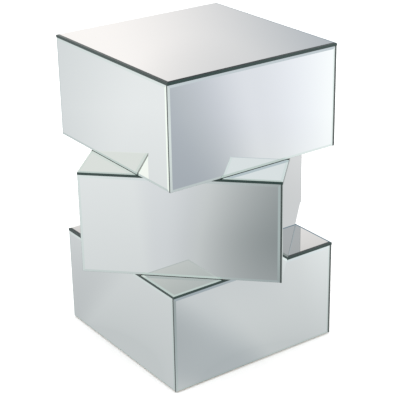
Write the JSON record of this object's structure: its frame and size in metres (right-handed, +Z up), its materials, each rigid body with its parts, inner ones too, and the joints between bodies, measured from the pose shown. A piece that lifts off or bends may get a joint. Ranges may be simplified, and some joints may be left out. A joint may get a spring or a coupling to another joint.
{
  "type": "mirrored side table",
  "caption": "Pedestal side table or display stand of stacked square boxes clad in bevelled mirror glass, each turned against the next.",
  "frame": {"origin": "on the floor under the centre of the stack, at the underside of the felt pads", "axes": "+Z up, X and Y along the sides of the lower and upper boxes, -Y the front"},
  "size_m": [0.5374, 0.5374, 0.614],
  "materials": {
    "mirror_glass": "silvered float glass, ground and polished bevel, green edges",
    "fibreboard": "raw medium-density fibreboard",
    "black_board": "fibreboard painted matt black",
    "pine": "planed softwood",
    "beech": "fluted hardwood dowel",
    "zinc_steel": "bright zinc plate",
    "felt": "dense charcoal felt"
  },
  "bodies": {
    "root": {"lower_top_mirror": "mirror_glass", "lower_front_mirror": "mirror_glass", "lower_right_mirror": "mirror_glass", "lower_back_mirror": "mirror_glass", "lower_left_mirror": "mirror_glass", "lower_top_board": "fibreboard", "lower_front_board": "fibreboard", "lower_right_board": "fibreboard", "lower_back_board": "fibreboard", "lower_left_board": "fibreboard", "lower_base_board": "black_board", "lower_corner_block_1": "pine", "lower_corner_block_2": "pine", "lower_corner_block_3": "pine", "lower_corner_block_4": "pine", "lower_dowels": "beech", "lower_base_screws": "zinc_steel", "middle_top_mirror": "mirror_glass", "middle_front_mirror": "mirror_glass", "middle_right_mirror": "mirror_glass", "middle_back_mirror": "mirror_glass", "middle_left_mirror": "mirror_glass", "middle_top_board": "fibreboard", "middle_front_board": "fibreboard", "middle_right_board": "fibreboard", "middle_back_board": "fibreboard", "middle_left_board": "fibreboard", "middle_base_board": "black_board", "middle_corner_block_1": "pine", "middle_corner_block_2": "pine", "middle_corner_block_3": "pine", "middle_corner_block_4": "pine", "middle_dowels": "beech", "middle_base_screws": "zinc_steel", "upper_top_mirror": "mirror_glass", "upper_front_mirror": "mirror_glass", "upper_right_mirror": "mirror_glass", "upper_back_mirror": "mirror_glass", "upper_left_mirror": "mirror_glass", "upper_top_board": "fibreboard", "upper_front_board": "fibreboard", "upper_right_board": "fibreboard", "upper_back_board": "fibreboard", "upper_left_board": "fibreboard", "upper_base_board": "black_board", "upper_corner_block_1": "pine", "upper_corner_block_2": "pine", "upper_corner_block_3": "pine", "upper_corner_block_4": "pine", "upper_dowels": "beech", "upper_base_screws": "zinc_steel", "lower_joint_bolts": "zinc_steel", "lower_joint_washers": "zinc_steel", "middle_joint_bolts": "zinc_steel", "middle_joint_washers": "zinc_steel", "middle_tee_nuts": "zinc_steel", "upper_tee_nuts": "zinc_steel", "felt_pads": "felt"}
  },
  "joints": []
}
